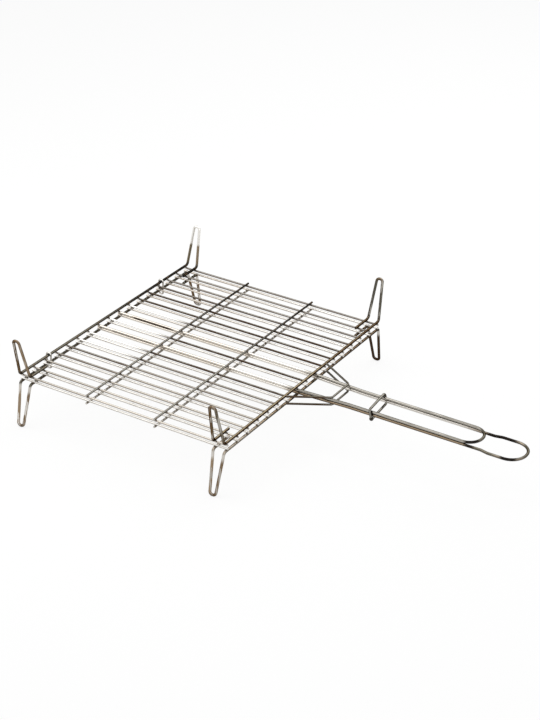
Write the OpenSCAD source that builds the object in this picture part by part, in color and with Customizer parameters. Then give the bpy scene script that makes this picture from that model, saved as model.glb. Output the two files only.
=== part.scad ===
// Double grill grate: two hinged wire grids with hairpin legs, two wire handles and a sliding locking ring.
// Closed, the upper grid is the lower one mirrored about the middle plane. Millimetres.
// +X runs from the hinge to the handles, +Y across the bars, +Z up.
// The origin is on the ground, under the middle of the whole outline.

/* [Grid] */
// Distance between the centre lines of the two outermost bars
grid_w = 400; // [300:5:480]
// Distance between the centre lines of the hinge rod and the front rod
grid_l = 340; // [240:5:420]
// Places across a grid; the middle one holds a bar and its two neighbours hold the handle's rods
places = 17; // [13:4:21]
// Diameter of a bar
bar_d = 3; // [2.5:0.1:3.8]
// How far a bar's ends pass the centre lines of the end rods
bar_overhang = 2.5; // [1:0.1:3.5]
// Cross wires between the end rods, evenly spaced
cross_wires = 2; // [1:1:3]
// Diameter of a cross wire
cross_d = 3; // [2.5:0.1:4]
// How far a cross wire's ends pass the centre lines of the outermost bars
cross_overhang = 4; // [2:0.5:8]
// Height left between the two closed handles
closed_gap = 0.3; // [0.2:0.05:2]

/* [End frames and legs] */
// Diameter of the wire that makes an end rod and its two legs
frame_d = 4; // [3:0.1:5]
// How far an end rod's corners pass the outermost bars
frame_overhang = 5; // [4.5:0.5:10]
// Radius of the wire's centre line where the rod turns into a leg
frame_bend = 5; // [4:0.5:6]
// Height of a foot's tip from the middle plane
leg_h = 69; // [50:0.5:110]
// How far a leg leans outward between its root and its tip
leg_splay = 15; // [0:0.5:25]
// Distance between a leg's two wires at the root
leg_base_w = 17.5; // [14:0.5:30]
// Distance between a leg's two wires at the tip
leg_tip_w = 9; // [6:0.5:12]
// How far a leg's welded end reaches in past the outermost bar
weld_reach = 32; // [10:1:60]

/* [Handles] */
// Diameter of the handle wire
handle_d = 4; // [3.5:0.1:5]
// Length of the short upper handle past the front rod
short_l = 273; // [200:1:300]
// Length of the long lower handle past the front rod
long_l = 337; // [325:0.5:400]
// Length that the handle's rods run on past the front rod before they converge
parallel_l = 5; // [3:1:20]
// Length past the front rod at which the rods have converged to the grip
narrow_l = 80; // [60:1:110]
// Distance between a handle's rods along the grip
grip_w = 42; // [36:1:45]
// Radius of the slight bends at both ends of the converging rods
taper_bend = 30; // [10:1:60]
// Distance from the short handle's end to the neck, where the long handle starts to flare
neck_gap = 8.5; // [7:0.5:12]
// Length over which the long handle flares into its loop
flare_l = 10; // [8:1:20]
// Width of the end loop between the wire's centre lines
loop_w = 47; // [46:1:60]
// Radius of the two small bends at each side of the flare
flare_bend = 12; // [6:1:20]

/* [Braces] */
// Diameter of the brace wire
brace_d = 3; // [2.5:0.1:4]
// Distance from the front rod to the part of the brace that crosses the handle
brace_reach = 55.5; // [35:0.5:80]
// Distance between a brace's two ends at the front rod
brace_spread = 108; // [80:1:160]
// Radius of the brace's bends
brace_bend = 5; // [3:0.5:8]

/* [Rings] */
// Diameter of the hinge rings' wire
hinge_wire_d = 2.5; // [2:0.1:3.5]
// Slack between a hinge ring and the hinge rods at each side
hinge_side_slack = 0.5; // [0.4:0.1:1]
// Slack between a hinge ring and the outer face of each hinge rod, were it centred on them
hinge_slack = 2.4; // [0.3:0.1:3]
// Gap left where a hinge ring hangs on the upper hinge rod
hinge_seat = 0.3; // [0.2:0.05:0.3]
// Gap between two bars that a hinge ring hangs in, counted from the outermost bar
hinge_ring_gap = 3; // [1:1:5]
// How far each hinge ring has slid from the middle of its gap towards the first bar
hinge_ring_shift = 3.3; // [0:0.1:6]
// Diameter of the locking ring's wire
lock_wire_d = 3.5; // [2.5:0.1:4]
// Slack at each side between the locking ring and the grip's rods
lock_slack = 0.7; // [0.5:0.1:1]
// Slack above and below the handles
lock_lift = 1.5; // [0.5:0.1:2.5]
// Radius of the locking ring's corners, to the wire's centre line
lock_bend = 4.5; // [3:0.1:5]
// Distance from the front rod to the locking ring
lock_at = 115; // [90:1:200]
// Lean of the locking ring, its lower side towards the handle's end
lock_lean = 14; // [0:1:15]
// Turn of the locking ring, its near side towards the handle's end
lock_turn = 5; // [0:1:8]

/* [Hidden] */
$fn = 32;
// Share of half a width that a round end's bends may fill, so that a short straight stays between them
END_FILL = 0.97;
// Length by which a wire starts inside the rod that its end is then trimmed against
TRIM = 4;
// How much thicker a bend is than its straights, and how far each straight runs into it
BEND_SWELL = 0.02;
BITE = 0.1;
// Sine of a turn too slight to have an axis
FLAT = 0.000001;

pitch = grid_w / (places - 1);
mid_place = (places - 1) / 2;
mid_y = grid_w / 2;

// Heights above the middle plane
outer_face_z = closed_gap / 2 + handle_d;
bar_z = outer_face_z - bar_d / 2;
handle_z = outer_face_z - handle_d / 2;
cross_z = outer_face_z + cross_d / 2;
frame_z = outer_face_z + frame_d / 2;
brace_z = outer_face_z + brace_d / 2;
leg_tip_z = leg_h - frame_d / 2;

// Places along the handles
taper_x = grid_l + parallel_l;
narrow_x = grid_l + narrow_l;
short_x = grid_l + short_l;
neck_x = short_x + neck_gap;
loop_x = grid_l + long_l;
brace_x = grid_l + brace_reach;

// Half the distance between the handle's rods at x
function rod_y(x) =
    let (share = max(0, min(1, (x - taper_x) / (narrow_x - taper_x))))
    pitch + (grip_w / 2 - pitch) * share;

// The hinge rings, round both hinge rods
hinge_half_w = (frame_d + hinge_wire_d) / 2 + hinge_side_slack;
hinge_half_h = frame_z + (frame_d + hinge_wire_d) / 2 + hinge_slack;
hinge_ring_z = hinge_seat - hinge_slack;
ring_gap_y = (hinge_ring_gap - 0.5) * pitch;
hinge_ring_y = [ring_gap_y - hinge_ring_shift, grid_w - ring_gap_y - hinge_ring_shift];

// The locking ring
lock_half_w = grip_w / 2 + (handle_d + lock_wire_d) / 2 + lock_slack;
lock_half_h = outer_face_z + lock_wire_d / 2 + lock_lift;

// The origin's place in the grid's own frame, which starts at the hinge rod of the first bar
outline_min_x = -(hinge_half_w + hinge_wire_d / 2);
outline_max_x = loop_x + handle_d / 2;
ORIGIN = [(outline_min_x + outline_max_x) / 2, mid_y, -leg_h];

STEEL = [0.72, 0.71, 0.68];
BRIGHT = [0.80, 0.80, 0.78];
RING = [0.62, 0.61, 0.58];

SIDES = ["upper", "lower"];
WELDED_PIECES = ["hinge_frame", "front_frame", "handle", "brace"];
BAR_PLACES = [for (i = [0:places - 1]) if (abs(i - mid_place) != 1) i];

function two_digits(n) = str(n < 10 ? "0" : "", n);
function bar_name(side, i) = str(side, "_bar_", two_digits(i + 1));
function cross_name(side, i) = str(side, "_cross_wire_", i);
function hinge_ring_name(i) = str("hinge_ring_", i + 1);

function unit(v) = v / norm(v);

// A frame whose first axis is x_dir and second axis is y_dir, at a place
function frame_at(x_dir, y_dir, z_dir, place) = [
    [x_dir.x, y_dir.x, z_dir.x, place.x],
    [x_dir.y, y_dir.y, z_dir.y, place.y],
    [x_dir.z, y_dir.z, z_dir.z, place.z],
    [0, 0, 0, 1]
];

// The direction of a path after its point i
function heading(points, i) = unit(points[i + 1] - points[i]);

// The angle that a path turns by after its straight i, to a thousandth of a degree
function turn_after(points, i) =
    round(acos(max(-1, min(1, heading(points, i) * heading(points, i + 1)))) * 1000) / 1000;

// The axis that a path turns about after its straight i; a path that runs straight on has any square one
function turn_axis(points, i) =
    let (axis = cross(heading(points, i), heading(points, i + 1)))
    norm(axis) < FLAT ? unit(cross(heading(points, i), [FLAT, 1, 1])) : unit(axis);

// The angle between the planes of a path's turns at the two ends of straight i
function roll_before(points, i) =
    let (was = turn_axis(points, i - 1), is = turn_axis(points, i))
    atan2(cross(was, is) * heading(points, i), was * is);

// The length of straight that the bend at a path's inner point takes up on each side
function bend_cut(points, radii, i) = i < 1 || i > len(points) - 2
    ? 0
    : radii[i - 1] * tan(turn_after(points, i - 1) / 2);

// What is left of a path's straight i between its bends
function straight_length(points, radii, i) =
    norm(points[i + 1] - points[i]) - bend_cut(points, radii, i) - bend_cut(points, radii, i + 1);

// A wire's bend: it starts at the origin along +Z and turns towards +X
module wire_bend(r, angle, d) {
    multmatrix(frame_at([-1, 0, 0], [0, 0, 1], [0, 1, 0], [r, 0, 0]))
        rotate_extrude(angle = angle)
            translate([r, 0])
                circle(d = d + BEND_SWELL);
}

// A wire after its straight i; it starts at the origin along +Z, and its next bend is towards +X
module wire_run(points, radii, d, i) {
    r = radii[i];
    angle = turn_after(points, i);
    length = straight_length(points, radii, i + 1);
    is_last = i == len(points) - 3;
    if (angle > 0) wire_bend(r, angle, d);
    translate([r, 0, 0])
        rotate([0, angle, 0])
            translate([-r, 0, -BITE]) {
                cylinder(h = length + (is_last ? 1 : 2) * BITE, d = d);
                if (!is_last)
                    rotate([0, 0, roll_before(points, i + 1)])
                        translate([0, 0, length + BITE])
                            wire_run(points, radii, d, i + 1);
            }
}

// A wire that starts in its own middle, along points, and is the same the other way
module bent_wire(points, radii, d) {
    z_dir = heading(points, 0);
    y_dir = turn_axis(points, 0);
    half_length = straight_length(points, radii, 0);
    multmatrix(frame_at(cross(y_dir, z_dir), y_dir, z_dir, points[0])) {
        cylinder(h = 2 * (half_length + BITE), d = d, center = true);
        for (way = [0, 1])
            mirror([0, 0, way])
                translate([0, 0, half_length])
                    wire_run(points, radii, d, 0);
    }
}

// Puts a piece that is drawn for the upper grid on the upper or the lower one
module on_side(side) {
    translate(-ORIGIN)
        if (side == "upper")
            children();
        else
            mirror([0, 0, 1]) children();
}

// A straight bar of the grid
module bar(i) {
    color(STEEL)
        translate([-bar_overhang, i * pitch, bar_z])
            rotate([0, 90, 0])
                cylinder(h = grid_l + 2 * bar_overhang, d = bar_d);
}

// A straight wire across the bars' outer faces
module cross_wire(i) {
    color(STEEL)
        translate([grid_l * i / (cross_wires + 1), -cross_overhang, cross_z])
            rotate([-90, 0, 0])
                cylinder(h = grid_w + 2 * cross_overhang, d = cross_d);
}

// One wire: end rod, and at each end a hairpin leg and a welded end; the legs lie on the inward side
module end_frame(inward) {
    root_y = -frame_overhang;
    tip_y = root_y - leg_splay;
    middle_x = inward * leg_base_w / 2;
    tip_bend = END_FILL * leg_tip_w / 2;
    points = [
        [0, mid_y, frame_z],
        [0, root_y, frame_z],
        [middle_x - inward * leg_tip_w / 2, tip_y, leg_tip_z],
        [middle_x + inward * leg_tip_w / 2, tip_y, leg_tip_z],
        [inward * leg_base_w, root_y, frame_z],
        [inward * leg_base_w, weld_reach, frame_z]
    ];
    color(BRIGHT)
        bent_wire(points, [frame_bend, tip_bend, tip_bend, frame_bend], frame_d);
}

module hinge_frame() {
    end_frame(1);
}

module front_frame() {
    translate([grid_l, 0, 0]) end_frame(-1);
}

// The upper handle: two rods through the whole grid, joined by a round end
module short_handle() {
    points = [
        [short_x, mid_y, handle_z],
        [short_x, mid_y - grip_w / 2, handle_z],
        [narrow_x, mid_y - grip_w / 2, handle_z],
        [taper_x, mid_y - pitch, handle_z],
        [0, mid_y - pitch, handle_z]
    ];
    color(BRIGHT)
        bent_wire(points, [END_FILL * grip_w / 2, taper_bend, taper_bend], handle_d);
}

// The lower handle: longer, with a flared loop that keeps the locking ring on
module long_handle() {
    points = [
        [loop_x, mid_y, handle_z],
        [loop_x, mid_y - loop_w / 2, handle_z],
        [neck_x + flare_l, mid_y - loop_w / 2, handle_z],
        [neck_x, mid_y - grip_w / 2, handle_z],
        [narrow_x, mid_y - grip_w / 2, handle_z],
        [taper_x, mid_y - pitch, handle_z],
        [0, mid_y - pitch, handle_z]
    ];
    radii = [END_FILL * loop_w / 2, flare_bend, flare_bend, taper_bend, taper_bend];
    color(BRIGHT)
        bent_wire(points, radii, handle_d);
}

// The brace: from the front rod across both of the handle's rods and back, trimmed to the rod's face
module brace() {
    rod_face_x = grid_l + frame_d / 2;
    corner = [brace_x, rod_y(brace_x)];
    root = [rod_face_x, brace_spread / 2];
    start = root + unit(root - corner) * TRIM;
    points = [
        [brace_x, mid_y, brace_z],
        [corner.x, mid_y - corner.y, brace_z],
        [start.x, mid_y - start.y, brace_z]
    ];
    color(STEEL)
        difference() {
            bent_wire(points, [brace_bend], brace_d);
            translate([rod_face_x - 3 * TRIM, mid_y - brace_spread, 0])
                cube([3 * TRIM, 2 * brace_spread, 2 * brace_z]);
        }
}

// A closed narrow ring that hangs on the upper hinge rod and chains the two together
module hinge_ring(i) {
    points = [
        [-hinge_half_w, 0, 0],
        [-hinge_half_w, 0, hinge_half_h],
        [hinge_half_w, 0, hinge_half_h],
        [hinge_half_w, 0, 0]
    ];
    end_bend = END_FILL * hinge_half_w;
    color(RING)
        translate([0, hinge_ring_y[i], hinge_ring_z])
            bent_wire(points, [end_bend, end_bend], hinge_wire_d);
}

// A closed oblong ring round both handles
module locking_ring() {
    points = [
        [0, 0, -lock_half_h],
        [0, -lock_half_w, -lock_half_h],
        [0, -lock_half_w, lock_half_h],
        [0, 0, lock_half_h]
    ];
    color(RING)
        translate([grid_l + lock_at, mid_y, 0])
            rotate([0, 0, lock_turn])
                rotate([0, -lock_lean, 0])
                    bent_wire(points, [lock_bend, lock_bend], lock_wire_d);
}

for (side = SIDES)
    for (i = BAR_PLACES)
        on_side(side) bar(i);
for (side = SIDES)
    for (i = [1:cross_wires])
        on_side(side) cross_wire(i);
for (side = SIDES) {
    on_side(side) hinge_frame();
    on_side(side) front_frame();
    on_side(side) brace();
}
on_side("upper") short_handle();  // upper_handle
on_side("lower") long_handle();  // lower_handle
for (i = [0:len(hinge_ring_y) - 1])
    on_side("upper") hinge_ring(i);
on_side("upper") locking_ring();
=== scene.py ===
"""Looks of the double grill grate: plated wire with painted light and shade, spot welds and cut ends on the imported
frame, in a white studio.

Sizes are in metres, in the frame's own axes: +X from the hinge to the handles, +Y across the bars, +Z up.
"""

import math
import random

import bmesh
import bpy
from mathutils import Matrix, Vector

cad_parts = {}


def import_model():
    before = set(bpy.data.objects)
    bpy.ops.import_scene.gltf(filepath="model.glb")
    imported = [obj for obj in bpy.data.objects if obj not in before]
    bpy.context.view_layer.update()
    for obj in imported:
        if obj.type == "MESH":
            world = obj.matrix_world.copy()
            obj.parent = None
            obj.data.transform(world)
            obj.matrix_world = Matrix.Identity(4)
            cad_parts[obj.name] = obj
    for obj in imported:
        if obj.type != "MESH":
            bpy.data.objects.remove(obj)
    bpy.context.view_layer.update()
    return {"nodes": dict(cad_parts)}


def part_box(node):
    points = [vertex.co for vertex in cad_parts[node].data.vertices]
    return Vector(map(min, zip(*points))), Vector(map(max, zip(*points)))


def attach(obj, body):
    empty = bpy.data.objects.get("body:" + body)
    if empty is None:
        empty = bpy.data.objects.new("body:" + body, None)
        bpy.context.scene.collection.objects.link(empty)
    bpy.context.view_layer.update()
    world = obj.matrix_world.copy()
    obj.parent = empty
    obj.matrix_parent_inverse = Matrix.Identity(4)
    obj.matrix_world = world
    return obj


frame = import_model()

MM = 0.001
NODES = frame["nodes"]
SIDES = {"upper": 1, "lower": -1}

# The camera, as angles about the grid's centre, in degrees, and its place off that centre's line
CAMERA_AZIMUTH = -58.07
CAMERA_ELEVATION = 29.20
CAMERA_ROLL = 0.70
CAMERA_DISTANCE = 2.6793
CAMERA_RIGHT = 0.0940
CAMERA_UP = -0.01349
# Focal length in pixels of the photograph, and the photograph's long side
FOCAL_PX = 1874.12
LONG_SIDE_PX = 720
SENSOR_MM = 36

# Colours, as linear values
WHITE_PLATE = (0.860, 0.840, 0.800)
BRIGHT_PLATE = (0.700, 0.675, 0.635)
CREAM_PLATE = (0.640, 0.595, 0.535)
PALE_PLATE = (0.420, 0.395, 0.355)
TAN_PLATE = (0.300, 0.225, 0.150)
GREY_PLATE = (0.205, 0.195, 0.170)
STRAW_PLATE = (0.200, 0.165, 0.108)
SMOKE_PLATE = (0.150, 0.142, 0.122)
OLIVE_PLATE = (0.105, 0.096, 0.074)
RUST_PLATE = (0.125, 0.080, 0.042)
BROWN_PLATE = (0.050, 0.030, 0.018)
BLACK_PLATE = (0.010, 0.008, 0.007)
HEAT_TINT = (0.130, 0.085, 0.048)
EDGE_TINT = (0.060, 0.040, 0.025)
WHITE = (1.0, 1.0, 1.0)
FLOOR_TONE = (0.90, 0.90, 0.89)

# Painted black and brown reflections on the handles: how far from the front rod, how far from the middle, and their
# reach
BLACK_REFLECTION_PLACES = ((0.291, 0.025, 0.028), (0.320, -0.019, 0.014), (0.264, -0.015, 0.013))
BROWN_REFLECTION_PLACES = ((0.268, 0.002, 0.020), (0.332, 0.006, 0.020), (0.285, -0.020, 0.020))



def centre(low, high):
    return (low + high) / 2


def socket(node, name, value):
    node.inputs[name].default_value = value


class Shader:
    """A material's node tree, with short calls for the nodes that the wires use."""

    def __init__(self, name):
        self.material = bpy.data.materials.new(name)
        self.material.use_nodes = True
        self.tree = self.material.node_tree
        self.tree.nodes.clear()
        self.output = self.node("ShaderNodeOutputMaterial")
        self.surface = self.node("ShaderNodeBsdfPrincipled")
        self.link(self.surface, "BSDF", self.output, "Surface")
        coordinates = self.node("ShaderNodeTexCoord")
        self.place = coordinates.outputs["Object"]
        self.axes = self.split(self.place)
        self.facing = self.split(coordinates.outputs["Normal"])

    def split(self, vector):
        made = self.node("ShaderNodeSeparateXYZ")
        self.tree.links.new(vector, made.inputs[0])
        return {axis: made.outputs[axis] for axis in "XYZ"}

    def node(self, kind, **settings):
        made = self.tree.nodes.new(kind)
        for key, value in settings.items():
            setattr(made, key, value)
        return made

    def link(self, from_node, output, to_node, into):
        self.tree.links.new(from_node.outputs[output], to_node.inputs[into])

    def plug(self, source, node, into):
        """Links a socket to an input, or sets the input to a number or a colour."""
        if hasattr(source, "is_linked"):
            self.tree.links.new(source, node.inputs[into])
        elif isinstance(source, tuple):
            node.inputs[into].default_value = (*source, 1.0)
        else:
            node.inputs[into].default_value = source

    def noise(self, scale, detail=3.0, stretch=(1, 1, 1), offset=(0, 0, 0)):
        mapping = self.node("ShaderNodeMapping")
        self.tree.links.new(self.place, mapping.inputs["Vector"])
        socket(mapping, "Scale", stretch)
        socket(mapping, "Location", offset)
        texture = self.node("ShaderNodeTexNoise")
        self.link(mapping, "Vector", texture, "Vector")
        socket(texture, "Scale", scale)
        socket(texture, "Detail", detail)
        return texture.outputs["Fac"]

    def math(self, operation, a, b=0.0, c=0.0):
        made = self.node("ShaderNodeMath", operation=operation)
        self.plug(a, made, 0)
        self.plug(b, made, 1)
        self.plug(c, made, 2)
        return made.outputs[0]

    def range(self, value, low, high, to_low=0.0, to_high=1.0):
        made = self.node("ShaderNodeMapRange", interpolation_type="SMOOTHSTEP")
        self.plug(value, made, "Value")
        socket(made, "From Min", low)
        socket(made, "From Max", high)
        socket(made, "To Min", to_low)
        socket(made, "To Max", to_high)
        return made.outputs["Result"]

    def mix(self, factor, a, b):
        made = self.node("ShaderNodeMix", data_type="RGBA")
        self.plug(factor, made, "Factor")
        colours = [number for number, slot in enumerate(made.inputs) if slot.type == "RGBA"]
        self.plug(a, made, colours[0])
        self.plug(b, made, colours[1])
        return [slot for slot in made.outputs if slot.type == "RGBA"][0]

    def bump(self, height, strength, distance):
        made = self.node("ShaderNodeBump")
        self.plug(height, made, "Height")
        socket(made, "Strength", strength)
        socket(made, "Distance", distance)
        self.link(made, "Normal", self.surface, "Normal")


def near_crossings(shader, axis, first, period, reach):
    """1 at the wires' crossings along an axis, falling to 0 at reach from them."""
    along = shader.math("SUBTRACT", shader.axes[axis], first)
    distance = shader.math("PINGPONG", along, period / 2)
    return shader.range(distance, reach * 0.25, reach, 1.0, 0.0)


def within(shader, axis, low, high, fade):
    """1 between two places along an axis, fading to 0 outside them."""
    above = shader.range(shader.axes[axis], low - fade, low)
    below = shader.range(shader.axes[axis], high, high + fade, 1.0, 0.0)
    return shader.math("MULTIPLY", above, below)


def near_places(shader, places):
    """1 at each place, falling to 0 at its reach; a place is its centre and its reach."""
    total = 0.0
    for place, reach in places:
        distance = shader.node("ShaderNodeVectorMath", operation="DISTANCE")
        shader.tree.links.new(shader.place, distance.inputs[0])
        distance.inputs[1].default_value = place
        spot = shader.range(distance.outputs["Value"], reach * 0.6, reach, 1.0, 0.0)
        total = shader.math("MAXIMUM", spot, total)
    return total


def wire_metal(name, painted_crown, side, shaded_underside, stretch, painted_crown_from=0.8, shaded_underside_to=-0.05, painted_light_toward=(0, 0, 1), gloss=0.13,
               heat=None, tints=()):
    """Plated drawn wire with painted light and shade: its crown, its side and its painted-shade underside, with
    uneven edges between them.

    The crown is where a normal points by painted_crown_from or more towards the painted light's direction. It carries
    a painted highlight on some wires and a painted dark band on others. The underside, where the normal points by
    shaded_underside_to or less, carries painted shade. heat is the strength of the browning at the welds. tints are
    masks over the wire, each with the colour that it brings in.
    """
    shader = Shader(name)
    patches = shader.noise(46.0, 3.0)
    lines = shader.noise(1.0, 2.0, stretch)
    specks = shader.noise(700.0, 2.0)
    # Painted light and shade: how far each normal faces the painted light's direction, with patches breaking the
    # edges.
    up = shader.math("MULTIPLY", shader.math("SUBTRACT", patches, 0.5), 0.8)
    for axis, share in zip("XYZ", Vector(painted_light_toward).normalized()):
        up = shader.math("MULTIPLY_ADD", shader.facing[axis], share, up)
    # Painted shade on the underside, then the crown's painted highlight or painted dark band over the side.
    tone = shader.mix(shader.range(up, shaded_underside_to - 0.45, shaded_underside_to), shaded_underside, side)
    tone = shader.mix(shader.range(up, painted_crown_from - 0.1, painted_crown_from + 0.1), tone, painted_crown)
    tone = shader.mix(shader.range(lines, 0.45, 0.8, 0.0, 0.12), tone, GREY_PLATE)
    edge = EDGE_TINT
    for mask, colour in tints:
        share = mask(shader)
        tone = shader.mix(share, tone, colour)
        edge = shader.mix(share, edge, colour)
    rough = shader.range(specks, 0.3, 0.75, gloss, gloss + 0.07)
    if heat is not None:
        burn = shader.math("MULTIPLY", heat(shader), shader.range(shader.noise(160.0), 0.3, 0.6, 0.1, 0.45))
        tone = shader.mix(burn, tone, HEAT_TINT)
        rough = shader.math("ADD", rough, shader.math("MULTIPLY", burn, 0.3))
    shader.plug(tone, shader.surface, "Base Color")
    shader.plug(rough, shader.surface, "Roughness")
    shader.plug(edge, shader.surface, "Specular Tint")
    socket(shader.surface, "Metallic", 1.0)
    shader.bump(lines, 0.12, 0.05 * MM)
    return shader.material


def weld_metal():
    """A spot weld's squeezed bead: scaled and a little duller than the wires."""
    shader = Shader("weld_bead")
    scale = shader.noise(1400.0, 4.0)
    shader.plug(shader.mix(shader.range(scale, 0.3, 0.7), GREY_PLATE, PALE_PLATE), shader.surface, "Base Color")
    shader.plug(shader.range(scale, 0.3, 0.7, 0.28, 0.45), shader.surface, "Roughness")
    socket(shader.surface, "Metallic", 1.0)
    shader.bump(scale, 0.4, 0.10 * MM)
    return shader.material


def seam_metal():
    """The blackened bead where a ring's ends are welded together."""
    shader = Shader("ring_seam")
    scale = shader.noise(1100.0, 4.0)
    shader.plug(shader.mix(shader.range(scale, 0.35, 0.75), BLACK_PLATE, OLIVE_PLATE), shader.surface, "Base Color")
    shader.plug(shader.range(scale, 0.3, 0.7, 0.30, 0.50), shader.surface, "Roughness")
    socket(shader.surface, "Metallic", 1.0)
    shader.bump(scale, 0.5, 0.15 * MM)
    return shader.material


def cut_metal():
    """A wire's sheared end: bare steel with the shear's lines across it."""
    shader = Shader("cut_end")
    lines = shader.noise(1.0, 3.0, (300, 2600, 900))
    shader.plug(shader.mix(lines, PALE_PLATE, BRIGHT_PLATE), shader.surface, "Base Color")
    shader.plug(shader.range(lines, 0.3, 0.7, 0.30, 0.45), shader.surface, "Roughness")
    socket(shader.surface, "Metallic", 1.0)
    shader.bump(lines, 0.4, 0.08 * MM)
    return shader.material


class Grid:
    """The places of the wires, read from the frame."""

    def __init__(self):
        bars = sorted(n for n in NODES if n.startswith("lower_bar_"))
        boxes = [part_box(n) for n in bars]
        self.bar_y = [centre(low.y, high.y) for low, high in boxes]
        self.bar_r = (boxes[0][1].y - boxes[0][0].y) / 2
        self.bar_ends = (boxes[0][0].x, boxes[0][1].x)
        self.pitch = min(b - a for a, b in zip(self.bar_y, self.bar_y[1:]))
        self.mid_z = centre(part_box(bars[0])[0].z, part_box(bars[0].replace("lower", "upper"))[1].z)
        crosses = sorted(n for n in NODES if n.startswith("lower_cross_wire_"))
        boxes = [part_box(n) for n in crosses]
        self.cross_x = [centre(low.x, high.x) for low, high in boxes]
        self.cross_r = (boxes[0][1].x - boxes[0][0].x) / 2
        self.cross_ends = (boxes[0][0].y, boxes[0][1].y)
        self.face_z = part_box("upper_bar_01")[1].z - self.mid_z
        handle_low, handle_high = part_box("upper_handle")
        self.handle_r = (handle_high.z - handle_low.z) / 2
        self.handle_y = handle_high.y - self.handle_r
        self.hinge_x = handle_low.x
        self.spacing = self.cross_x[1] - self.cross_x[0]
        self.front_x = self.cross_x[-1] + self.spacing
        self.frame_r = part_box("upper_front_frame")[1].x - self.front_x
        self.inner_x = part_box("upper_hinge_frame")[1].x - self.frame_r
        brace_low, brace_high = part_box("upper_brace")
        self.brace_r = (brace_high.z - brace_low.z) / 2
        self.brace_x = brace_high.x - self.brace_r
        self.brace_y = brace_high.y - self.brace_r
        self.grip_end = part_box("upper_handle")[1].x
        self.leg_h = self.mid_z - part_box("lower_front_frame")[0].z

    def crossings(self):
        """(x, y, longitudinal wire's radius, transverse wire's radius) of every weld of one grid."""
        rods = [(y, self.bar_r) for y in self.bar_y] + [(s * self.handle_y, self.handle_r) for s in (-1, 1)]
        for y, radius in rods:
            for x in self.cross_x:
                yield x, y, radius, self.cross_r
            for x in (self.hinge_x, self.front_x):
                yield x, y, radius, self.frame_r
        reach = self.inner_x - self.hinge_x
        for y in (self.bar_y[0], self.bar_y[1], self.bar_y[-2], self.bar_y[-1]):
            for x in (self.hinge_x + reach, self.front_x - reach):
                yield x, y, self.bar_r, self.frame_r


def blob(mesh, place, radii, axis=(0, 0, 1), turn=0.0, segments=14, rings=8):
    """Adds a smooth ellipsoid to a mesh, at a place; its last radius lies along an axis, and it is turned about that."""
    aim = Vector(axis).to_track_quat("Z", "Y").to_matrix().to_4x4()
    size = Matrix.Diagonal((*radii, 1.0))
    move = Matrix.Translation(place) @ aim @ Matrix.Rotation(turn, 4, "Z") @ size
    bmesh.ops.create_uvsphere(mesh, u_segments=segments, v_segments=rings, radius=1.0, matrix=move)


def finished(mesh, name, material, body):
    """Makes an object of a mesh, gives it its material and slot, and lets it ride on a body."""
    data = bpy.data.meshes.new(name)
    mesh.to_mesh(data)
    mesh.free()
    data.polygons.foreach_set("use_smooth", [True] * len(data.polygons))
    piece = bpy.data.objects.new(name, data)
    bpy.context.scene.collection.objects.link(piece)
    data.materials.append(material)
    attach(piece, body)
    return piece


def rod_place(side, x, z):
    """How far out the centre line of a handle's rod lies at x, found on its faces."""
    handle = NODES[f"{side}_handle"]
    far_out = 2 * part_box(f"{side}_handle")[1].y
    outer = handle.ray_cast(Vector((x, far_out, z)), Vector((0, -1, 0)))[1].y
    inner = handle.ray_cast(Vector((x, 0, z)), Vector((0, 1, 0)))[1].y
    return centre(inner, outer)


def welds(grid, side, material):
    """The beads squeezed out where one grid's wires cross, and those at the brace's ends."""
    mesh = bmesh.new()
    chance = random.Random(f"{side} welds")
    seam_z = grid.mid_z + SIDES[side] * grid.face_z
    handle_z = seam_z - SIDES[side] * grid.handle_r
    rod_y = rod_place(side, grid.brace_x, handle_z)
    crossings = list(grid.crossings())
    crossings += [(grid.brace_x, way * rod_y, grid.handle_r, grid.brace_r) for way in (-1, 1)]
    for x, y, rod_r, cross_r in crossings:
        shift = Vector((chance.uniform(-0.15, 0.15) * MM, chance.uniform(-0.15, 0.15) * MM, 0))
        grow = chance.uniform(0.9, 1.08)
        radii = (cross_r * 0.98 * grow, rod_r * 0.98 * grow, 0.6 * MM * grow)
        blob(mesh, Vector((x, y, seam_z)) + shift, radii, turn=chance.uniform(-0.3, 0.3))
    brace_z = seam_z + SIDES[side] * grid.brace_r
    for way in (-1, 1):
        place = Vector((grid.front_x + grid.frame_r + 0.1 * MM, way * (grid.brace_y - 0.8 * MM), brace_z))
        blob(mesh, place, (1.1 * MM, 2.2 * MM, 1.62 * MM))
    return finished(mesh, f"{side}_welds", material, f"{side}_grid")


def outermost(name, direction, wire_r):
    """The centre line's point where a ring of wire reaches furthest in a direction."""
    direction = Vector(direction).normalized()
    points = [vertex.co for vertex in NODES[name].data.vertices]
    reach = max(point.dot(direction) for point in points)
    tips = [point for point in points if point.dot(direction) > reach - 0.1 * MM]
    return sum(tips, Vector()) / len(tips) - direction * wire_r


def ring_seams(grid, weld, seam):
    """The beads where the ends of each ring's wire are welded together."""
    mesh = bmesh.new()
    for name in ("hinge_ring_1", "hinge_ring_2"):
        low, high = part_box(name)
        wire_r = (high.y - low.y) / 2
        place = Vector((high.x - wire_r, centre(low.y, high.y), grid.mid_z - 1.2 * MM))
        blob(mesh, place, (wire_r * 1.12, wire_r * 1.15, 1.5 * MM))
    finished(mesh, "hinge_ring_seams", weld, "hinge_rings")
    mesh = bmesh.new()
    outward = Vector((0, -1, -1)).normalized()
    place = outermost("locking_ring", outward, 1.75 * MM) + outward * 0.8 * MM
    blob(mesh, place, (2.9 * MM, 2.9 * MM, 3.6 * MM), axis=(0, 1, -1))
    finished(mesh, "locking_ring_seam", seam, "locking_ring")


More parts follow.
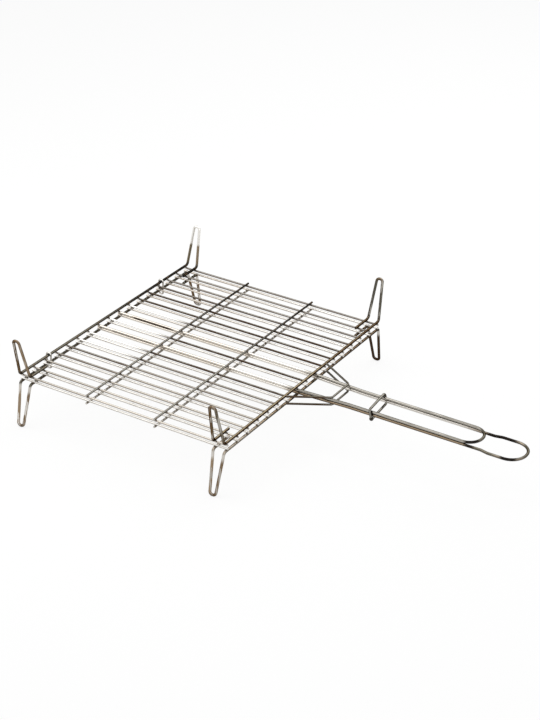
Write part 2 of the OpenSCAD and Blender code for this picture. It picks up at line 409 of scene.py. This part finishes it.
def wire_ends(grid, side, material):
    """The sheared, slightly domed ends of one grid's bars and cross wires."""
    mesh = bmesh.new()
    chance = random.Random(f"{side} ends")
    dome = 0.35 * MM
    bar_z = grid.mid_z + SIDES[side] * (grid.face_z - grid.bar_r)
    for y in grid.bar_y:
        for x in grid.bar_ends:
            blob(mesh, Vector((x, y, bar_z)), (dome, grid.bar_r * 0.985, grid.bar_r * 0.985))
    cross_z = grid.mid_z + SIDES[side] * (grid.face_z + grid.cross_r)
    for x in grid.cross_x:
        for y in grid.cross_ends:
            blob(mesh, Vector((x, y, cross_z)), (grid.cross_r * 0.985, dome, grid.cross_r * 0.985))
    return finished(mesh, f"{side}_wire_ends", material, f"{side}_grid")


def dress(grid):
    """Gives every CAD node its metal, and adds the welds, the seams and the cut ends."""
    hinge_x, front_x, spacing = grid.hinge_x, grid.front_x, grid.spacing
    first_y, last_y = grid.bar_y[0], grid.bar_y[-1]

    def across(shader):
        return near_crossings(shader, "X", hinge_x, spacing, 4.0 * MM)

    def along(shader):
        return near_crossings(shader, "Y", first_y, grid.pitch, 3.5 * MM)

    def along_rod(shader):
        return shader.math("MULTIPLY", along(shader), within(shader, "Y", first_y, last_y, 4 * MM))

    def across_grid(shader):
        return shader.math("MULTIPLY", across(shader), within(shader, "X", hinge_x, front_x, 4 * MM))

    def off_middle(shader):
        """How far above or below the seam between the grids."""
        return shader.math("ABSOLUTE", shader.math("SUBTRACT", shader.axes["Z"], grid.mid_z))

    def painted_highlight_bars(shader):
        """Painted highlights on the bars' ends, and on their stretches near the middle of the hinge."""
        middle_x = centre(hinge_x, front_x)
        from_middle = shader.math("ABSOLUTE", shader.math("SUBTRACT", shader.axes["X"], middle_x))
        ends = shader.range(from_middle, front_x - middle_x - 4 * MM, front_x - middle_x - 1 * MM)
        near_hinge = within(shader, "X", hinge_x, hinge_x + 75 * MM, 45 * MM)
        middle = within(shader, "Y", -70 * MM, 45 * MM, 25 * MM)
        return shader.math("MAXIMUM", ends, shader.math("MULTIPLY", near_hinge, middle))

    def near_bar_highlights(shader):
        """Painted highlights on the near bars, most of them past the bay next to the hinge."""
        all_along = shader.range(shader.axes["Y"], -205 * MM, -60 * MM, 0.50, 0.0)
        near_bars = shader.range(shader.axes["Y"], -80 * MM, -45 * MM, 1.0, 0.0)
        past_bay = shader.range(shader.axes["X"], hinge_x + 90 * MM, hinge_x + 140 * MM, 0.0, 0.22)
        return shader.math("MULTIPLY_ADD", near_bars, past_bay, all_along)

    def lighter_far_bars(shader):
        """The bars next to the far edge, made lighter."""
        return shader.math("MULTIPLY", within(shader, "Y", 160 * MM, 185 * MM, 60 * MM), 0.22)

    def lower_far(shader):
        """The lower bars on the far side, made darker next to the hinge."""
        far_side = shader.range(shader.axes["Y"], -60 * MM, 130 * MM)
        from_hinge = shader.range(shader.axes["X"], hinge_x + 60 * MM, hinge_x + 260 * MM, 0.45, 0.0)
        return shader.math("MULTIPLY", far_side, from_hinge)

    def inside_highlight(shader):
        """Painted highlight on the handles' rods where they lie in the grid."""
        return within(shader, "X", hinge_x, front_x - 30 * MM, 30 * MM)

    def front_bay_highlight(shader):
        """Painted highlight on the handles' rods where they cross the bay next to the front rod."""
        return shader.math("MULTIPLY", within(shader, "X", front_x - 95 * MM, front_x - 25 * MM, 20 * MM), 0.6)

    def rod_share(low, high, low_share, high_share):
        """A share of the transverse wires, but not of the legs, that changes between two places along Y."""
        def mask(shader):
            rod = shader.range(off_middle(shader), 9 * MM, 16 * MM, 1.0, 0.0)
            share = shader.range(shader.axes["Y"], low * MM, high * MM, low_share, high_share)
            return shader.math("MULTIPLY", rod, share)
        return mask

    def dark_reflection_spots(shader):
        """Painted black reflections on the handles."""
        places = [((front_x + x, y, grid.mid_z), reach) for x, y, reach in BLACK_REFLECTION_PLACES]
        return shader.math("MULTIPLY", near_places(shader, places), 0.97)

    def brown_reflection_spots(shader):
        """Painted brown reflections on the handles' ends."""
        places = [((front_x + x, y, grid.mid_z), reach) for x, y, reach in BROWN_REFLECTION_PLACES]
        return shader.math("MULTIPLY", near_places(shader, places), 0.9)

    def shaded_root_flanks(shader):
        """Painted shade on the lower flanks of a handle's rods where they cross the bay next to the hinge."""
        root = within(shader, "X", hinge_x + 34 * MM, hinge_x + 92 * MM, 14 * MM)
        flank = shader.math("MULTIPLY", root, shader.range(shader.facing["Z"], 0.55, 0.85, 0.9, 0.0))
        return shader.math("MULTIPLY", flank, shader.range(shader.axes["Y"], -10 * MM, 10 * MM, 0.5, 1.0))

    def far_rod(shader):
        """The long handle's far rod, up to the short handle's end."""
        far_side = shader.range(shader.axes["Y"], -5 * MM, 5 * MM)
        before_loop = shader.range(shader.axes["X"], front_x + 225 * MM, front_x + 275 * MM, 0.85, 0.0)
        return shader.math("MULTIPLY", far_side, before_loop)

    def loop(shader):
        """The long handle's loop, past the short handle's end, painted darker as a dark reflection."""
        return shader.range(shader.axes["X"], front_x + 265 * MM, front_x + 285 * MM, 0.0, 0.6)

    def far_grip(shader):
        """The short handle's far rod, up to the browned end."""
        far_side = shader.range(shader.axes["Y"], -5 * MM, 5 * MM)
        before_end = shader.range(shader.axes["X"], front_x + 150 * MM, front_x + 190 * MM, 0.5, 0.0)
        return shader.math("MULTIPLY", far_side, before_end)

    def far_brace(shader):
        """The brace's cross part and its far leg."""
        return shader.range(shader.axes["Y"], -32 * MM, -22 * MM, 0.0, 0.6)

    def leg(way):
        """The near or the far leg of a frame."""
        def mask(shader):
            outside = shader.range(off_middle(shader), 8 * MM, 14 * MM)
            across_grid = shader.math("MULTIPLY", shader.axes["Y"], way)
            return shader.math("MULTIPLY", outside, shader.math("GREATER_THAN", across_grid, 0.0))
        return mask

    def leg_wire(leg_x):
        """Each leg's wire on the side of the handles."""
        def mask(shader):
            outside = shader.range(off_middle(shader), 8 * MM, 14 * MM)
            side = shader.range(shader.axes["X"], leg_x - 2 * MM, leg_x + 2 * MM, 0.0, 0.6)
            return shader.math("MULTIPLY", outside, side)
        return mask

    def pale_leg_streaks(shader):
        """Long paler streaks down the legs."""
        outside = shader.range(off_middle(shader), 8 * MM, 14 * MM)
        streaks = shader.range(shader.noise(1.0, 2.0, (300, 300, 12)), 0.50, 0.58, 0.0, 0.85)
        return shader.math("MULTIPLY", outside, streaks)

    def leg_tips(shader):
        """The bends at the legs' tips."""
        return shader.range(off_middle(shader), grid.leg_h - 7 * MM, grid.leg_h - 2 * MM, 0.0, 0.65)

    def leg_top(shader):
        """The outer half of the legs."""
        return shader.range(off_middle(shader), 38 * MM, 42 * MM, 0.0, 0.9)

    def leg_root_highlights(shader):
        """Painted highlights on the bends where the legs leave the rods."""
        low = shader.range(off_middle(shader), 7 * MM, 10 * MM)
        high = shader.range(off_middle(shader), 14 * MM, 22 * MM, 1.0, 0.0)
        return shader.math("MULTIPLY", shader.math("MULTIPLY", low, high), 0.7)

    near, far = -1, 1
    hinge_leg_x = centre(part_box("upper_hinge_frame")[0].x, grid.inner_x + grid.frame_r)
    front_leg_x = front_x + hinge_x - hinge_leg_x
    hinge_wire, front_wire = leg_wire(hinge_leg_x), leg_wire(front_leg_x)

    def far_leg_highlight(shader):
        """Painted highlight on the outer half of a far leg."""
        return shader.math("MULTIPLY", leg(far)(shader), leg_top(shader))

    lines_x = (18, 2400, 2400)
    lines_y = (2400, 18, 2400)
    lines_any = (420, 420, 420)
    # The direction of the painted light and shade on the rods, the cross wires and the locking ring.
    painted_light_direction = (-0.40, -0.28, 0.87)
    # Painted dark reflections on the far stretches of the cross wires, the hinge rods and the front rods, and a
    # painted highlight on the lower front rod's near side.
    cross_far, hinge_far = rod_share(-110, 190, 0.0, 0.90), rod_share(-130, 110, 0.0, 0.88)
    front_near, front_far = rod_share(-205, -60, 0.45, 0.0), rod_share(10, 90, 0.0, 0.55)
    # Each wire's crown, side and underside colours are painted light and shade by facing; the tints add painted
    # highlights, painted reflections and other tones.
    metals = {
        "upper_bar": wire_metal(
            "upper_bar_wire", GREY_PLATE, BROWN_PLATE, BROWN_PLATE, lines_x, painted_crown_from=0.85, heat=across,
            tints=((near_bar_highlights, CREAM_PLATE), (lighter_far_bars, BRIGHT_PLATE), (painted_highlight_bars, WHITE_PLATE))),
        # The lower bars are painted near white all over, a painted highlight, with painted shade on their undersides.
        "lower_bar": wire_metal(
            "lower_bar_wire", WHITE_PLATE, BRIGHT_PLATE, TAN_PLATE, lines_x, painted_crown_from=0.3, shaded_underside_to=0.0, gloss=0.3,
            tints=((lower_far, TAN_PLATE),)),
        "upper_cross": wire_metal(
            "upper_cross_wire", OLIVE_PLATE, GREY_PLATE, BROWN_PLATE, lines_y, painted_crown_from=0.9, painted_light_toward=painted_light_direction,
            heat=along, tints=((cross_far, BLACK_PLATE),)),
        "lower_cross": wire_metal(
            "lower_cross_wire", PALE_PLATE, PALE_PLATE, OLIVE_PLATE, lines_y, painted_crown_from=0.6, painted_light_toward=painted_light_direction,
            heat=along),
        "upper_hinge_frame": wire_metal(
            "upper_hinge_frame_wire", OLIVE_PLATE, OLIVE_PLATE, BROWN_PLATE, lines_any, painted_light_toward=painted_light_direction,
            heat=along_rod, tints=((hinge_far, BLACK_PLATE), (leg(near), RUST_PLATE), (pale_leg_streaks, PALE_PLATE),
                                   (leg(far), STRAW_PLATE), (hinge_wire, TAN_PLATE), (leg_tips, RUST_PLATE),
                                   (far_leg_highlight, WHITE_PLATE))),
        "lower_hinge_frame": wire_metal(
            "lower_hinge_frame_wire", OLIVE_PLATE, OLIVE_PLATE, BROWN_PLATE, lines_any, painted_light_toward=painted_light_direction,
            heat=along_rod, tints=((leg(near), TAN_PLATE), (leg(far), RUST_PLATE), (hinge_wire, RUST_PLATE),
                                   (pale_leg_streaks, BRIGHT_PLATE), (leg_root_highlights, BRIGHT_PLATE),
                                   (leg_tips, BROWN_PLATE))),
        "upper_front_frame": wire_metal(
            "upper_front_frame_wire", STRAW_PLATE, BROWN_PLATE, BROWN_PLATE, lines_any, painted_crown_from=0.5,
            painted_light_toward=painted_light_direction, heat=along_rod, tints=((front_far, BROWN_PLATE), (leg(near), RUST_PLATE),
                                                   (leg(far), OLIVE_PLATE), (front_wire, OLIVE_PLATE),
                                                   (pale_leg_streaks, PALE_PLATE), (leg_tips, RUST_PLATE))),
        "lower_front_frame": wire_metal(
            "lower_front_frame_wire", TAN_PLATE, OLIVE_PLATE, BROWN_PLATE, lines_any, painted_crown_from=0.3,
            painted_light_toward=painted_light_direction, heat=along_rod, tints=((front_near, PALE_PLATE), (front_far, BROWN_PLATE),
                                                   (leg(near), TAN_PLATE), (front_wire, RUST_PLATE),
                                                   (pale_leg_streaks, PALE_PLATE), (leg(far), BROWN_PLATE),
                                                   (leg_root_highlights, BRIGHT_PLATE), (leg_tips, BROWN_PLATE))),
        "upper_handle": wire_metal(
            "upper_handle_wire", SMOKE_PLATE, PALE_PLATE, GREY_PLATE, lines_x, painted_crown_from=0.75, shaded_underside_to=0.2,
            heat=across_grid,
            tints=((far_grip, PALE_PLATE), (inside_highlight, CREAM_PLATE), (front_bay_highlight, WHITE_PLATE),
                   (shaded_root_flanks, BROWN_PLATE), (brown_reflection_spots, OLIVE_PLATE), (dark_reflection_spots, BLACK_PLATE))),
        # The lower handle's crown is painted darker, as painted shade under the upper handle.
        "lower_handle": wire_metal(
            "lower_handle_wire", GREY_PLATE, TAN_PLATE, BROWN_PLATE, lines_x, painted_crown_from=0.9, shaded_underside_to=0.25,
            heat=across_grid, tints=((far_rod, BRIGHT_PLATE), (loop, SMOKE_PLATE), (inside_highlight, CREAM_PLATE),
                                     (front_bay_highlight, WHITE_PLATE), (brown_reflection_spots, OLIVE_PLATE),
                                     (dark_reflection_spots, BLACK_PLATE))),
        "brace": wire_metal(
            "brace_wire", OLIVE_PLATE, BROWN_PLATE, BLACK_PLATE, lines_any, tints=((far_brace, GREY_PLATE),)),
        "hinge_ring": wire_metal(
            "hinge_ring_wire", BRIGHT_PLATE, PALE_PLATE, GREY_PLATE, lines_any, painted_crown_from=0.4),
        "locking_ring": wire_metal(
            "locking_ring_wire", OLIVE_PLATE, GREY_PLATE, BROWN_PLATE, lines_any, painted_crown_from=0.9, painted_light_toward=painted_light_direction),
    }
    for name, node in NODES.items():
        kind = [kind for kind in metals if kind in name][0]
        for place in node.material_slots:
            place.material = metals[kind]
    weld = weld_metal()
    cut = cut_metal()
    for side in SIDES:
        welds(grid, side, weld)
        wire_ends(grid, side, cut)
    ring_seams(grid, weld, seam_metal())


def camera(grid):
    """The camera, at the photograph's angle on the grid's centre."""
    azimuth, elevation = math.radians(CAMERA_AZIMUTH), math.radians(CAMERA_ELEVATION)
    away = Vector((math.cos(elevation) * math.cos(azimuth), math.cos(elevation) * math.sin(azimuth), math.sin(elevation)))
    right = (-away).cross(Vector((0, 0, 1))).normalized()
    up = right.cross(-away)
    roll = math.radians(CAMERA_ROLL)
    rolled_right = math.cos(roll) * right + math.sin(roll) * up
    rolled_up = math.cos(roll) * up - math.sin(roll) * right
    aim = Vector((centre(grid.hinge_x, grid.front_x), 0.0, grid.mid_z))
    place = aim + CAMERA_DISTANCE * away + CAMERA_RIGHT * rolled_right + CAMERA_UP * rolled_up
    data = bpy.data.cameras.new("camera")
    data.sensor_width = SENSOR_MM
    data.lens = FOCAL_PX * SENSOR_MM / LONG_SIDE_PX
    data.clip_end = 50.0
    made = bpy.data.objects.new("camera", data)
    axes = Matrix((rolled_right, rolled_up, away)).transposed().to_4x4()
    made.matrix_world = Matrix.Translation(place) @ axes
    bpy.context.scene.collection.objects.link(made)
    bpy.context.scene.camera = made


def shows_white(tree):
    """A factor of 1 for rays that see the background itself: the camera's, and those that metal reflects."""
    path = tree.nodes.new("ShaderNodeLightPath")
    total = path.outputs["Is Camera Ray"]
    for name in ("Is Glossy Ray", "Is Transmission Ray"):
        add = tree.nodes.new("ShaderNodeMath")
        add.operation = "MAXIMUM"
        tree.links.new(total, add.inputs[0])
        tree.links.new(path.outputs[name], add.inputs[1])
        total = add.outputs[0]
    return total


def world():
    made = bpy.data.worlds.new("studio")
    bpy.context.scene.world = made
    made.use_nodes = True
    tree = made.node_tree
    tree.nodes.clear()
    output = tree.nodes.new("ShaderNodeOutputWorld")
    light, shown = tree.nodes.new("ShaderNodeBackground"), tree.nodes.new("ShaderNodeBackground")
    socket(light, "Color", (0.97, 0.98, 1.0, 1.0))
    socket(light, "Strength", 0.60)
    socket(shown, "Color", (*WHITE, 1.0))
    socket(shown, "Strength", 1.0)
    mix = tree.nodes.new("ShaderNodeMixShader")
    tree.links.new(shows_white(tree), mix.inputs[0])
    tree.links.new(light.outputs[0], mix.inputs[1])
    tree.links.new(shown.outputs[0], mix.inputs[2])
    tree.links.new(mix.outputs[0], output.inputs["Surface"])


def floor():
    """A pale floor that is white to the camera and keeps a faint shadow."""
    mesh = bmesh.new()
    bmesh.ops.create_grid(mesh, x_segments=1, y_segments=1, size=30.0)
    data = bpy.data.meshes.new("floor")
    mesh.to_mesh(data)
    mesh.free()
    made = bpy.data.objects.new("floor", data)
    bpy.context.scene.collection.objects.link(made)
    material = bpy.data.materials.new("floor")
    material.use_nodes = True
    tree = material.node_tree
    tree.nodes.clear()
    output = tree.nodes.new("ShaderNodeOutputMaterial")
    lit, shown = tree.nodes.new("ShaderNodeBsdfDiffuse"), tree.nodes.new("ShaderNodeEmission")
    socket(lit, "Color", (*FLOOR_TONE, 1.0))
    socket(shown, "Color", (*WHITE, 1.0))
    socket(shown, "Strength", 1.0)
    part = tree.nodes.new("ShaderNodeMath")
    part.operation = "MULTIPLY"
    tree.links.new(shows_white(tree), part.inputs[0])
    part.inputs[1].default_value = 0.85
    mix = tree.nodes.new("ShaderNodeMixShader")
    tree.links.new(part.outputs[0], mix.inputs[0])
    tree.links.new(lit.outputs[0], mix.inputs[1])
    tree.links.new(shown.outputs[0], mix.inputs[2])
    tree.links.new(mix.outputs[0], output.inputs["Surface"])
    data.materials.append(material)


def area_lamp(name, place, aim, size, watts, colour):
    data = bpy.data.lights.new(name, "AREA")
    data.shape = "RECTANGLE"
    data.size, data.size_y = size
    data.energy = watts
    data.color = colour
    made = bpy.data.objects.new(name, data)
    place, aim = Vector(place), Vector(aim)
    made.location = place
    made.rotation_euler = (aim - place).to_track_quat("-Z", "Y").to_euler()
    bpy.context.scene.collection.objects.link(made)


def lights(grid):
    aim = (centre(grid.hinge_x, grid.front_x), 0.0, grid.mid_z)
    area_lamp("top_softbox", (-0.70, -0.25, 1.50), aim, (0.9, 2.3), 15.0, (1.0, 0.99, 0.97))
    area_lamp("back_softbox", (-0.02, 1.41, 1.34), aim, (1.3, 1.1), 10.0, WHITE)
    area_lamp("fill_softbox", (1.60, -1.30, 1.10), aim, (1.8, 1.4), 7.0, (0.97, 0.98, 1.0))


grid = Grid()
dress(grid)
camera(grid)
world()
floor()
lights(grid)
bpy.context.scene.view_settings.view_transform = "Standard"
